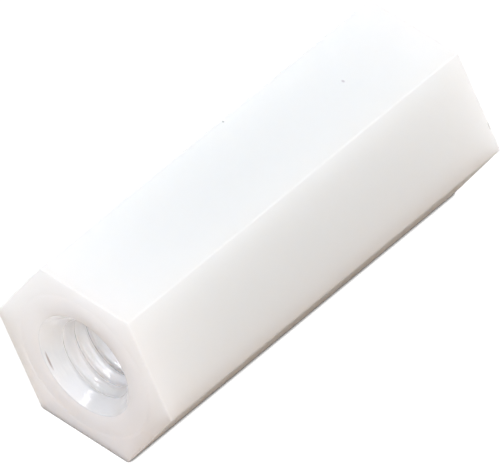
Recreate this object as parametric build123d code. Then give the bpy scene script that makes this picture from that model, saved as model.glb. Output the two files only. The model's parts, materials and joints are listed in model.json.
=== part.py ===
from build123d import *
import os
from math import radians, tan

# A white nylon hex standoff: one bar of hexagonal section, drilled and tapped from end to end.
# It lies on a flat. +X runs along the bore from the front end to the rear end, +Z is up, and
# the origin is on the surface that it lies on, under the middle of the bar.

# Driving dimensions, in millimetres
across_flats = 6.0
body_length = 15.0
corner_radius = 0.1  # along the six long edges
end_edge_radius = 0.05  # round the outline of each end face
thread_diameter = 3.0  # nominal size of the screw that goes in from either end
thread_pitch = 0.5
mouth_diameter = 3.55  # the countersink's rim, in the end face
cut_overrun = 0.5  # how far the bore's cutting profile runs past the end faces

# The section's sides, and the countersink's full angle in degrees
side_count = 6
countersink_angle = 90.0

# Sizes worked out from those above
axis_height = across_flats / 2
half_length = body_length / 2
bore_radius = (thread_diameter - thread_pitch) / 2
mouth_radius = mouth_diameter / 2
countersink_slope = tan(radians(countersink_angle / 2))
countersink_depth = (mouth_radius - bore_radius) / countersink_slope


def hexagonal_bar():
    """The solid bar about the X axis, with a flat underneath and all its edges softened."""
    hexagon = RegularPolygon(across_flats / 2, side_count, major_radius=False)
    section = fillet(hexagon.vertices(), corner_radius)
    bar = extrude(Plane.YZ.offset(-half_length) * section, body_length)
    end_faces = bar.faces().filter_by(Axis.X)
    return fillet(end_faces.edges(), end_edge_radius)


def countersunk_bore():
    """What is cut away: the tapping bore and its two countersinks, as one profile turned about X."""
    cut_end = half_length + cut_overrun
    cut_radius = mouth_radius + cut_overrun * countersink_slope
    wall_end = half_length - countersink_depth
    half_section = Polyline(
        (-cut_end, 0),
        (-cut_end, cut_radius),
        (-wall_end, bore_radius),
        (wall_end, bore_radius),
        (cut_end, cut_radius),
        (cut_end, 0),
        close=True,
    )
    return revolve(make_face(half_section), Axis.X)


standoff = Pos(0, 0, axis_height) * (hexagonal_bar() - countersunk_bore())
standoff.label = "hex_standoff"

os.makedirs("parts", exist_ok=True)
export_step(standoff, "parts/hex_standoff.step")
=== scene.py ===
import json
import math

import bpy
import numpy as np
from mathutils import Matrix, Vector


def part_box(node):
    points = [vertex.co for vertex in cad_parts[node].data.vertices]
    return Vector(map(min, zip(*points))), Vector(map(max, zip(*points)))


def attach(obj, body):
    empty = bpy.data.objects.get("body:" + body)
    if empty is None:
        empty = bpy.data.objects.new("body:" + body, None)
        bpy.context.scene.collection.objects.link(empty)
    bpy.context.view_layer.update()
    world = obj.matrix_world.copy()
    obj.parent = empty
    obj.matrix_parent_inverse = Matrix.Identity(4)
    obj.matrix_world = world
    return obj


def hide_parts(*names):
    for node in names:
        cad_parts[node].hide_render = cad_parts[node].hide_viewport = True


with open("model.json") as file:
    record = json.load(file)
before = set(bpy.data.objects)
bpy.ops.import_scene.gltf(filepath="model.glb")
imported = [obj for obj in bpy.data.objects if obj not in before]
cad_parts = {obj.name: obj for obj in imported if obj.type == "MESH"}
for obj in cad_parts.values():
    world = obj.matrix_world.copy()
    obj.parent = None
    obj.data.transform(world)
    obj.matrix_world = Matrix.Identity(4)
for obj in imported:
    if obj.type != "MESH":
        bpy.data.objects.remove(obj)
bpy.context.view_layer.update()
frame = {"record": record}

MM = 0.001
WHITE = (1.0, 1.0, 1.0, 1.0)

# Sizes that the frame gives, in metres
node_low, node_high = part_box("hex_standoff")
BODY_LENGTH = node_high.x - node_low.x
HALF_LENGTH = BODY_LENGTH / 2
ACROSS_FLATS = node_high.z - node_low.z
AXIS_HEIGHT = ACROSS_FLATS / 2
THREAD_MOUNT = next(m for m in frame["record"]["mounts"] if m["name"] == "front_thread")
BORE_RADIUS = THREAD_MOUNT["dims"]["r_mm"] * MM

# The body's edges, in metres, as in the solid, and the mouth's rim, which is rounded only here
CORNER_RADIUS = 0.1 * MM
END_EDGE_RADIUS = 0.05 * MM
MOUTH_RADIUS = 1.775 * MM
RIM_ROUNDING = 0.05 * MM

# The right-hand thread, with rounded crests and roots, and how softly it runs out into the countersinks
THREAD_PITCH = 0.5 * MM
THREAD_DEPTH = 0.2 * MM
THREAD_PHASE_SHARE = 0.07
RUN_IN_WIDTH = 0.1 * MM

# The faint ring that a tool left on each end face, and its profile as shares of its width and depth
RING_RADIUS = 2.52 * MM
RING_WIDTH = 0.06 * MM
RING_DEPTH = 0.012 * MM
RING_PROFILE = ((-1, 0), (-0.5, 0.7), (0, 1), (0.5, 0.7), (1, 0))

# How finely the mesh is divided
HEX_SIDES = 6
CORNER_STEPS = 7
FLAT_STEPS = 24
END_FACE_STEPS = 4
END_EDGE_STEPS = 6
RIM_STEPS = 3
SIDE_STEPS = 48
WALL_STEPS = 420

# The nylon's colours: two cloudy ones outside, a cool one low in the countersinks, darkened there as painted
# shade, that turns lighter with height as painted light, and a pale one in the bore behind them
CLOUD_SIZE = 2.4 * MM
CLOUD_RANGE = (0.35, 0.65)
CLOUD_TINTS = ((0.965, 0.955, 0.935, 1.0), (0.98, 0.97, 0.955, 1.0))
COUNTERSINK_PAINTED_SHADE_TINT = (0.80, 0.84, 0.91, 1.0)
COUNTERSINK_UPPER_PAINTED_LIGHT_TINT = (0.97, 0.965, 0.95, 1.0)
PAINTED_LIGHT_HEIGHTS = (2.4 * MM, 3.4 * MM)
BORE_TINT = (0.98, 0.985, 0.995, 1.0)
TINT_CHANGE_START = 0.5 * MM
TINT_CHANGE_END = 1.2 * MM

# Small marks in colour only, in millimetres and degrees: a dot and a speck on the upper flat, painted shade
# as a dark slit inside the front mouth, and painted shade as a dark patch at the rear end's edge. Each is an
# ellipsoid turned about X.
MARKS_AND_PAINTED_SHADE = [
    {
        "at": (0.66, 1.65, 5.98),
        "half": (0.05, 0.05, 0.05),
        "turn": 0,
        "colour": (0.30, 0.31, 0.32, 1.0),
    },
    {
        "at": (4.31, 0.065, 6.0),
        "half": (0.06, 0.08, 0.06),
        "turn": 0,
        "colour": (0.70, 0.66, 0.68, 1.0),
    },
    # Painted shade: a dark slit inside the front mouth
    {
        "at": (-7.42, 1.468, 2.152),
        "half": (0.03, 0.08, 0.42),
        "turn": -30,
        "colour": (0.42, 0.385, 0.39, 1.0),
    },
    # Painted shade: a dark patch at the rear end's edge
    {
        "at": (7.48, -3.03, 3.75),
        "half": (0.07, 0.06, 0.19),
        "turn": -30,
        "colour": (0.25, 0.24, 0.24, 1.0),
    },
]
MARK_CORE = 0.4

# The nylon's surface: fine grain, lines drawn along the flats, and tool marks round the bore
GRAIN_SIZE = 0.12 * MM
GRAIN_RANGE = (0.3, 0.7)
DRAWN_SIZE = 0.05 * MM
DRAWN_STRETCH = (60, 1, 1)
DRAWN_HEIGHT = 0.5
TOOL_MARK_SIZE = 0.1 * MM
TOOL_MARK_STRETCH = (1, 5, 5)
TOOL_MARK_HEIGHT = 9.0
SATIN_ROUGHNESS = (0.34, 0.46)
CUT_ROUGHNESS = (0.1, 0.2)
BUMP_STRENGTH = 0.25
BUMP_DISTANCE = 0.01 * MM
REFRACTIVE_INDEX = 1.53

# How far light spreads in the nylon: by height above the floor, and as a factor inside the bore
SPREAD_HEIGHTS = (0.0, 2.6 * MM)
SPREAD_LENGTHS = (0.6 * MM, 4.5 * MM)
COUNTERSINK_SPREAD = 1.5
BORE_SPREAD = 0.3
SPREAD_BY_COLOUR = (1.0, 0.95, 0.9)
FORWARD_SCATTER = 0.7

# The floor: its size and place, its colour for light that it throws back, and its colour and glow
# for rays that look at it
FLOOR_SIZE = 3.0
FLOOR_DROP = 0.002 * MM
FLOOR_COLOUR = (0.47, 0.36, 0.28, 1.0)
FLOOR_GREY = (0.1, 0.1, 0.1, 1.0)
FLOOR_GLOW = 1.0

# Where the standoff's shadow takes the floor's white away: reach, and open shares from dark to white
OCCLUSION_SAMPLES = 16
CONTACT_REACH = 0.3 * MM
CONTACT_RANGE = (0.25, 0.4)
SHADE_REACH = 12.0 * MM
SHADE_RANGE = (0.9, 1.0)

# The weak sky and the lamps
SKY_COLOUR = (0.96, 0.98, 1.0, 1.0)
SKY_STRENGTH = 0.02
LAMP_DISTANCE = 0.3
SOFTBOX_WIDTH = 0.16
GLINT_WIDTH = 0.05
GLINT_COLOUR = (0.97, 0.95, 1.0)

# The photograph's view: its size and the body's centre in pixels, and the camera's place
IMAGE_WIDTH_PX = 500
IMAGE_HEIGHT_PX = 464
CENTRE_PX = (250.0, 229.6)
PX_PER_METRE = 33380.0
CAMERA_AZIMUTH = -48.8
CAMERA_ELEVATION = 45.9
CAMERA_DISTANCE = 0.5
SENSOR_WIDTH_MM = 36.0


def eased_steps(count):
    """Shares from 0 to 1 in count steps, closer together towards both ends."""
    return (1 - np.cos(np.linspace(0, math.pi, count + 1))) / 2


def rounded_hexagon(inset):
    """The section's outline, moved inwards by inset: points (y, z) about the bore's axis."""
    sector = 2 * math.pi / HEX_SIDES
    corner_distance = (ACROSS_FLATS / 2 - CORNER_RADIUS) / math.cos(sector / 2)
    arcs = []
    for corner in range(HEX_SIDES):
        towards = corner * sector
        normals = towards + sector * (np.linspace(0, 1, CORNER_STEPS + 1) - 0.5)
        centre = corner_distance * np.array([math.cos(towards), math.sin(towards)])
        arcs.append(centre + (CORNER_RADIUS - inset) * np.column_stack([np.cos(normals), np.sin(normals)]))
    points = []
    for corner, arc in enumerate(arcs):
        start, end = arc[-1], arcs[(corner + 1) % HEX_SIDES][0]
        points.append(arc)
        points.append(start + eased_steps(FLAT_STEPS)[1:-1, None] * (end - start))
    return np.concatenate(points)


OUTLINE = rounded_hexagon(0)
ANGLES = np.arctan2(OUTLINE[:, 1], OUTLINE[:, 0])
DIRECTIONS = np.column_stack([np.cos(ANGLES), np.sin(ANGLES)])


def ring(x, section):
    """One ring of the mesh: a section's points at x along the bore."""
    return np.column_stack([np.full(len(section), x), section[:, 0], section[:, 1] + AXIS_HEIGHT])


def round_section(radius):
    """A section about the bore's axis, round or as a radius for each angle."""
    return DIRECTIONS * np.broadcast_to(radius, ANGLES.shape)[:, None]


def thread_radius(x):
    """The threaded wall's radius at x, for each angle round the bore."""
    turn = x / THREAD_PITCH - ANGLES / (2 * math.pi) + THREAD_PHASE_SHARE
    return BORE_RADIUS + THREAD_DEPTH * (1 - np.cos(2 * math.pi * turn)) / 2


def bore_wall(x):
    """The wall at x: the thread, or the countersink where that is wider, with a rounded change between."""
    thread = thread_radius(x)
    countersink = MOUTH_RADIUS - (HALF_LENGTH - abs(x))
    return (thread + countersink + np.sqrt((thread - countersink) ** 2 + RUN_IN_WIDTH ** 2)) / 2


def end_face_rings():
    """Rings of the front end: the countersink's rim, the end face and its rounded edge."""
    front = -HALF_LENGTH
    rings = []
    for step in range(1, RIM_STEPS + 1):
        share = step / RIM_STEPS
        depth = RIM_ROUNDING * (1 - share) ** 2 / 2
        radius = MOUTH_RADIUS - RIM_ROUNDING / 2 + RIM_ROUNDING * share
        rings.append(ring(front + depth, round_section(radius)))
    for across, dip in RING_PROFILE:
        rings.append(ring(front + RING_DEPTH * dip, round_section(RING_RADIUS + RING_WIDTH * across)))
    inner, outer = round_section(RING_RADIUS + RING_WIDTH), rounded_hexagon(END_EDGE_RADIUS)
    for share in eased_steps(END_FACE_STEPS)[1:]:
        rings.append(ring(front, inner + share * (outer - inner)))
    for step in range(1, END_EDGE_STEPS + 1):
        turn = math.pi / 2 * step / END_EDGE_STEPS
        inset = END_EDGE_RADIUS * (1 - math.sin(turn))
        rings.append(ring(front + END_EDGE_RADIUS * (1 - math.cos(turn)), rounded_hexagon(inset)))
    return rings


def mirrored(rings):
    """The same rings at the rear end, in the order that carries the mesh on."""
    return [points * np.array([-1, 1, 1]) for points in reversed(rings)]


def body_rings():
    """Every ring of the closed mesh: out of the front mouth, along the outside and back by the bore."""
    front = end_face_rings()
    side_half = HALF_LENGTH - END_EDGE_RADIUS
    side = [ring(side_half * (2 * share - 1), OUTLINE) for share in eased_steps(SIDE_STEPS)[1:-1]]
    wall_half = HALF_LENGTH - RIM_ROUNDING / 2
    wall_shares = (eased_steps(WALL_STEPS) + np.linspace(0, 1, WALL_STEPS + 1)) / 2
    wall = [ring(x, round_section(bore_wall(x))) for x in wall_half * (1 - 2 * wall_shares)]
    return front + side + mirrored(front) + wall


def closed_mesh(name, rings):
    """A mesh of quads over rings that close on themselves both ways."""
    count, around = len(rings), len(rings[0])
    index = np.arange(count * around).reshape(count, around)
    ahead, beside = np.roll(index, -1, axis=0), np.roll(index, -1, axis=1)
    quads = np.stack([index, beside, np.roll(ahead, -1, axis=1), ahead], axis=-1).reshape(-1, 4)
    mesh = bpy.data.meshes.new(name)
    mesh.from_pydata(np.concatenate(rings).tolist(), [], quads.tolist())
    mesh.polygons.foreach_set("use_smooth", [True] * len(mesh.polygons))
    mesh.update()
    return mesh


def add_node(tree, kind, **settings):
    """A shader node with some of its properties set."""
    node = tree.nodes.new(kind)
    for name, value in settings.items():
        setattr(node, name, value)
    return node


def noise(tree, coords, size, detail=2.0, stretch=(1, 1, 1)):
    """A noise whose features are about size across, and longer along an axis whose stretch is above 1."""
    mapping = add_node(tree, "ShaderNodeMapping")
    mapping.inputs["Scale"].default_value = [1 / (size * s) for s in stretch]
    texture = add_node(tree, "ShaderNodeTexNoise")
    texture.inputs["Scale"].default_value = 1.0
    texture.inputs["Detail"].default_value = detail
    tree.links.new(coords, mapping.inputs["Vector"])
    tree.links.new(mapping.outputs["Vector"], texture.inputs["Vector"])
    return texture.outputs["Fac"]


def math_node(tree, operation, first, second):
    """The result of a sum on two sockets or numbers."""
    node = add_node(tree, "ShaderNodeMath", operation=operation)
    for socket, value in zip(node.inputs, (first, second)):
        if isinstance(value, (int, float)):
            socket.default_value = value
        else:
            tree.links.new(value, socket)
    return node.outputs["Value"]


def remap(tree, value, from_range, to_range):
    """A value carried from one range to another, and held at its ends."""
    node = add_node(tree, "ShaderNodeMapRange")
    for name, number in zip(("From Min", "From Max", "To Min", "To Max"), (*from_range, *to_range)):
        node.inputs[name].default_value = number
    tree.links.new(value, node.inputs["Value"])
    return node.outputs["Result"]


def blend_values(tree, share, first, second):
    """A value between two sockets."""
    node = add_node(tree, "ShaderNodeMix", data_type="FLOAT")
    tree.links.new(share, node.inputs[0])
    tree.links.new(first, node.inputs[2])
    tree.links.new(second, node.inputs[3])
    return node.outputs[0]


def blend_colours(tree, share, first, second):
    """A colour between two colours or colour sockets."""
    node = add_node(tree, "ShaderNodeMix", data_type="RGBA")
    tree.links.new(share, node.inputs["Factor"])
    colour_inputs = [s for s in node.inputs if s.type == "RGBA"]
    for socket, value in zip(colour_inputs, (first, second)):
        if isinstance(value, tuple):
            socket.default_value = value
        else:
            tree.links.new(value, socket)
    return next(s for s in node.outputs if s.type == "RGBA")


def separated(tree, coords):
    """A point's X, Y and Z as sockets."""
    node = add_node(tree, "ShaderNodeSeparateXYZ")
    tree.links.new(coords, node.inputs["Vector"])
    return node.outputs


def length_of(tree, vector):
    """A vector's length as a socket."""
    node = add_node(tree, "ShaderNodeVectorMath", operation="LENGTH")
    tree.links.new(vector, node.inputs[0])
    return node.outputs["Value"]


def bore_share(tree, coords):
    """1 inside the mouth's radius and 0 outside its rim."""
    across = add_node(tree, "ShaderNodeMapping")
    across.inputs["Location"].default_value = (0, 0, -AXIS_HEIGHT)
    across.inputs["Scale"].default_value = (0, 1, 1)
    tree.links.new(coords, across.inputs["Vector"])
    from_axis = length_of(tree, across.outputs["Vector"])
    return remap(tree, from_axis, (MOUTH_RADIUS + RIM_ROUNDING, MOUTH_RADIUS), (0.0, 1.0))


def depth_share(tree, coords):
    """0 in the countersinks and 1 in the bore behind them."""
    from_middle = math_node(tree, "ABSOLUTE", separated(tree, coords)["X"], 0.0)
    change = (HALF_LENGTH - TINT_CHANGE_START, HALF_LENGTH - TINT_CHANGE_END)
    return remap(tree, from_middle, change, (0.0, 1.0))


def mark_share(tree, coords, mark):
    """1 in the middle of a mark's ellipsoid, and 0 from its surface outwards."""
    place = add_node(tree, "ShaderNodeMapping", vector_type="TEXTURE")
    place.inputs["Location"].default_value = [value * MM for value in mark["at"]]
    place.inputs["Rotation"].default_value = (math.radians(mark["turn"]), 0, 0)
    place.inputs["Scale"].default_value = [value * MM for value in mark["half"]]
    tree.links.new(coords, place.inputs["Vector"])
    return remap(tree, length_of(tree, place.outputs["Vector"]), (MARK_CORE, 1.0), (1.0, 0.0))


def nylon_tint(tree, coords, bore, deep):
    """The nylon's colour: a little cloudy outside, cooler in the bore, painted shade low in the countersinks
    and painted light higher in them, and marked in a few places, two of them painted shade.
    """
    cloud = noise(tree, coords, CLOUD_SIZE, detail=3.0)
    outside = blend_colours(tree, remap(tree, cloud, CLOUD_RANGE, (0.0, 1.0)), *CLOUD_TINTS)
    # Painted shade low in the countersinks, turning to painted light higher up
    painted_light_share = remap(tree, separated(tree, coords)["Z"], PAINTED_LIGHT_HEIGHTS, (0.0, 1.0))
    countersink = blend_colours(tree, painted_light_share, COUNTERSINK_PAINTED_SHADE_TINT, COUNTERSINK_UPPER_PAINTED_LIGHT_TINT)
    inside = blend_colours(tree, deep, countersink, BORE_TINT)
    tint = blend_colours(tree, bore, outside, inside)
    # The marks, two of which are painted shade
    for mark in MARKS_AND_PAINTED_SHADE:
        tint = blend_colours(tree, mark_share(tree, coords, mark), tint, mark["colour"])
    return tint


def nylon_bump(tree, coords, grain, bore):
    """The surface's fine relief: grain and drawn lines outside, and tool marks in the bore."""
    drawn = noise(tree, coords, DRAWN_SIZE, stretch=DRAWN_STRETCH)
    outside = math_node(tree, "ADD", grain, math_node(tree, "MULTIPLY", drawn, DRAWN_HEIGHT))
    tool_marks = noise(tree, coords, TOOL_MARK_SIZE, detail=3.0, stretch=TOOL_MARK_STRETCH)
    inside = math_node(tree, "MULTIPLY", tool_marks, TOOL_MARK_HEIGHT)
    bump = add_node(tree, "ShaderNodeBump")
    bump.inputs["Strength"].default_value = BUMP_STRENGTH
    bump.inputs["Distance"].default_value = BUMP_DISTANCE
    tree.links.new(blend_values(tree, bore, outside, inside), bump.inputs["Height"])
    return bump.outputs["Normal"]


def nylon_spread(tree, coords, bore, deep):
    """How far light spreads: less near the floor and in the bore, and further in the countersinks."""
    by_height = remap(tree, separated(tree, coords)["Z"], SPREAD_HEIGHTS, SPREAD_LENGTHS)
    change = remap(tree, deep, (0.0, 1.0), (COUNTERSINK_SPREAD - 1, BORE_SPREAD - 1))
    factor = math_node(tree, "ADD", math_node(tree, "MULTIPLY", bore, change), 1.0)
    return math_node(tree, "MULTIPLY", by_height, factor)


def nylon():
    """Natural white nylon: milky, a little cloudy, satin outside and glossy where it was cut."""
    material = bpy.data.materials.new("natural_nylon")
    material.use_nodes = True
    tree = material.node_tree
    shader = tree.nodes["Principled BSDF"]
    coords = add_node(tree, "ShaderNodeTexCoord").outputs["Object"]
    bore = bore_share(tree, coords)
    deep = depth_share(tree, coords)
    grain = noise(tree, coords, GRAIN_SIZE, detail=3.0)
    satin = remap(tree, grain, GRAIN_RANGE, SATIN_ROUGHNESS)
    glossy = remap(tree, grain, GRAIN_RANGE, CUT_ROUGHNESS)
    tree.links.new(nylon_tint(tree, coords, bore, deep), shader.inputs["Base Color"])
    tree.links.new(blend_values(tree, bore, satin, glossy), shader.inputs["Roughness"])
    tree.links.new(nylon_bump(tree, coords, grain, bore), shader.inputs["Normal"])
    tree.links.new(nylon_spread(tree, coords, bore, deep), shader.inputs["Subsurface Scale"])
    shader.inputs["IOR"].default_value = REFRACTIVE_INDEX
    shader.inputs["Subsurface Weight"].default_value = 1.0
    shader.inputs["Subsurface Radius"].default_value = SPREAD_BY_COLOUR
    shader.inputs["Subsurface Anisotropy"].default_value = FORWARD_SCATTER
    return material


def ray_kinds(tree):
    """Two sockets: 1 for rays from the camera, and 1 for mirrored or transmitted rays."""
    path = add_node(tree, "ShaderNodeLightPath").outputs
    mirrored_ray = math_node(tree, "MAXIMUM", path["Is Glossy Ray"], path["Is Transmission Ray"])
    return path["Is Camera Ray"], mirrored_ray


def openness(tree, reach, dark_to_white):
    """0 where the standoff closes the floor in within reach, and 1 where it lies clear."""
    occlusion = add_node(tree, "ShaderNodeAmbientOcclusion", samples=OCCLUSION_SAMPLES)
    occlusion.inputs["Distance"].default_value = reach
    return remap(tree, occlusion.outputs["AO"], dark_to_white, (0.0, 1.0))


def pale_floor():
    """A floor that looks white, and dark where the standoff stands, but throws back less light than that."""
    material = bpy.data.materials.new("pale_floor")
    material.use_nodes = True
    tree = material.node_tree
    tree.nodes.clear()
    from_camera, mirrored_ray = ray_kinds(tree)
    looked_at = math_node(tree, "MAXIMUM", from_camera, mirrored_ray)
    diffuse = add_node(tree, "ShaderNodeBsdfDiffuse")
    tree.links.new(blend_colours(tree, looked_at, FLOOR_COLOUR, FLOOR_GREY), diffuse.inputs["Color"])
    seen = math_node(tree, "MULTIPLY", from_camera, openness(tree, CONTACT_REACH, CONTACT_RANGE))
    reflected = math_node(tree, "MULTIPLY", mirrored_ray, openness(tree, SHADE_REACH, SHADE_RANGE))
    strength = math_node(tree, "MULTIPLY", math_node(tree, "ADD", seen, reflected), FLOOR_GLOW)
    glow = add_node(tree, "ShaderNodeEmission")
    glow.inputs["Color"].default_value = WHITE
    tree.links.new(strength, glow.inputs["Strength"])
    both = add_node(tree, "ShaderNodeAddShader")
    tree.links.new(diffuse.outputs["BSDF"], both.inputs[0])
    tree.links.new(glow.outputs["Emission"], both.inputs[1])
    output = add_node(tree, "ShaderNodeOutputMaterial")
    tree.links.new(both.outputs["Shader"], output.inputs["Surface"])
    return material


def add_standoff():
    """The standoff's body with its thread, in place of the solid."""
    body = bpy.data.objects.new("standoff_body", closed_mesh("standoff_body", body_rings()))
    body.data.materials.append(nylon())
    bpy.context.scene.collection.objects.link(body)
    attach(body, "root")
    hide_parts("hex_standoff")


def add_floor():
    """A plain square floor, just under the standoff."""
    half = FLOOR_SIZE / 2
    corners = [(x, y, -FLOOR_DROP) for x, y in ((-half, -half), (half, -half), (half, half), (-half, half))]
    mesh = bpy.data.meshes.new("floor")
    mesh.from_pydata(corners, [], [(0, 1, 2, 3)])
    mesh.materials.append(pale_floor())
    floor = bpy.data.objects.new("floor", mesh)
    bpy.context.scene.collection.objects.link(floor)


def add_world():
    """A white surround, which lights the standoff only as a weak sky."""
    world = bpy.data.worlds.new("studio")
    world.use_nodes = True
    bpy.context.scene.world = world
    tree = world.node_tree
    tree.nodes.clear()
    sky = add_node(tree, "ShaderNodeBackground")
    sky.inputs["Color"].default_value = SKY_COLOUR
    sky.inputs["Strength"].default_value = SKY_STRENGTH
    white = add_node(tree, "ShaderNodeBackground")
    white.inputs["Color"].default_value = WHITE
    choice = add_node(tree, "ShaderNodeMixShader")
    tree.links.new(math_node(tree, "MAXIMUM", *ray_kinds(tree)), choice.inputs[0])
    tree.links.new(sky.outputs["Background"], choice.inputs[1])
    tree.links.new(white.outputs["Background"], choice.inputs[2])
    output = add_node(tree, "ShaderNodeOutputWorld")
    tree.links.new(choice.outputs["Shader"], output.inputs["Surface"])


def direction(azimuth, elevation):
    """The way from the standoff towards a place in the room, from two angles in degrees."""
    a, e = math.radians(azimuth), math.radians(elevation)
    return Vector((math.sin(a) * math.cos(e), -math.cos(a) * math.cos(e), math.sin(e)))


def add_lamp(name, azimuth, elevation, brightness, colour, width=SOFTBOX_WIDTH):
    """A square soft lamp aimed at the standoff. Brightness 1 makes a white surface that faces it white."""
    towards = direction(azimuth, elevation)
    data = bpy.data.lights.new(name, "AREA")
    data.shape = "SQUARE"
    data.size = width
    data.energy = brightness * (math.pi * LAMP_DISTANCE) ** 2
    data.color = colour
    lamp = bpy.data.objects.new(name, data)
    lamp.location = Vector((0, 0, AXIS_HEIGHT)) + towards * LAMP_DISTANCE
    lamp.rotation_euler = towards.to_track_quat("Z", "Y").to_euler()
    lamp.visible_camera = False
    bpy.context.scene.collection.objects.link(lamp)


def add_lamps():
    """Soft lamps round the standoff, and one narrower lamp whose glint shows in its front mouth."""
    add_lamp("left_softbox", azimuth=180, elevation=20, brightness=0.64, colour=(0.92, 0.99, 1.0))
    add_lamp("front_softbox", azimuth=-90, elevation=36, brightness=0.35, colour=(0.88, 0.90, 1.0))
    add_lamp("near_softbox", azimuth=-45, elevation=30, brightness=0.51, colour=(1.0, 0.96, 0.91))
    add_lamp("right_softbox", azimuth=45, elevation=46, brightness=0.31, colour=(0.97, 1.0, 0.96))
    add_lamp("rear_softbox", azimuth=90, elevation=20, brightness=0.69, colour=(0.90, 0.94, 1.0))
    add_lamp(
        "glint_lamp", azimuth=-118, elevation=30, brightness=0.19, colour=GLINT_COLOUR, width=GLINT_WIDTH
    )


def add_camera():
    """A long lens at the photograph's angle, aimed so that the body lies where it does there."""
    back = direction(CAMERA_AZIMUTH, CAMERA_ELEVATION)
    azimuth = math.radians(CAMERA_AZIMUTH)
    right = Vector((math.cos(azimuth), math.sin(azimuth), 0))
    up = back.cross(right)
    off_right = (IMAGE_WIDTH_PX / 2 - CENTRE_PX[0]) / PX_PER_METRE
    off_up = (CENTRE_PX[1] - IMAGE_HEIGHT_PX / 2) / PX_PER_METRE
    target = Vector((0, 0, AXIS_HEIGHT)) + right * off_right + up * off_up
    data = bpy.data.cameras.new("camera")
    data.sensor_width = SENSOR_WIDTH_MM
    data.lens = SENSOR_WIDTH_MM * CAMERA_DISTANCE * PX_PER_METRE / IMAGE_WIDTH_PX
    camera = bpy.data.objects.new("camera", data)
    camera.location = target + back * CAMERA_DISTANCE
    camera.rotation_euler = back.to_track_quat("Z", "Y").to_euler()
    bpy.context.scene.collection.objects.link(camera)
    bpy.context.scene.camera = camera


add_standoff()
add_floor()
add_world()
add_lamps()
add_camera()
bpy.context.scene.view_settings.view_transform = "Standard"
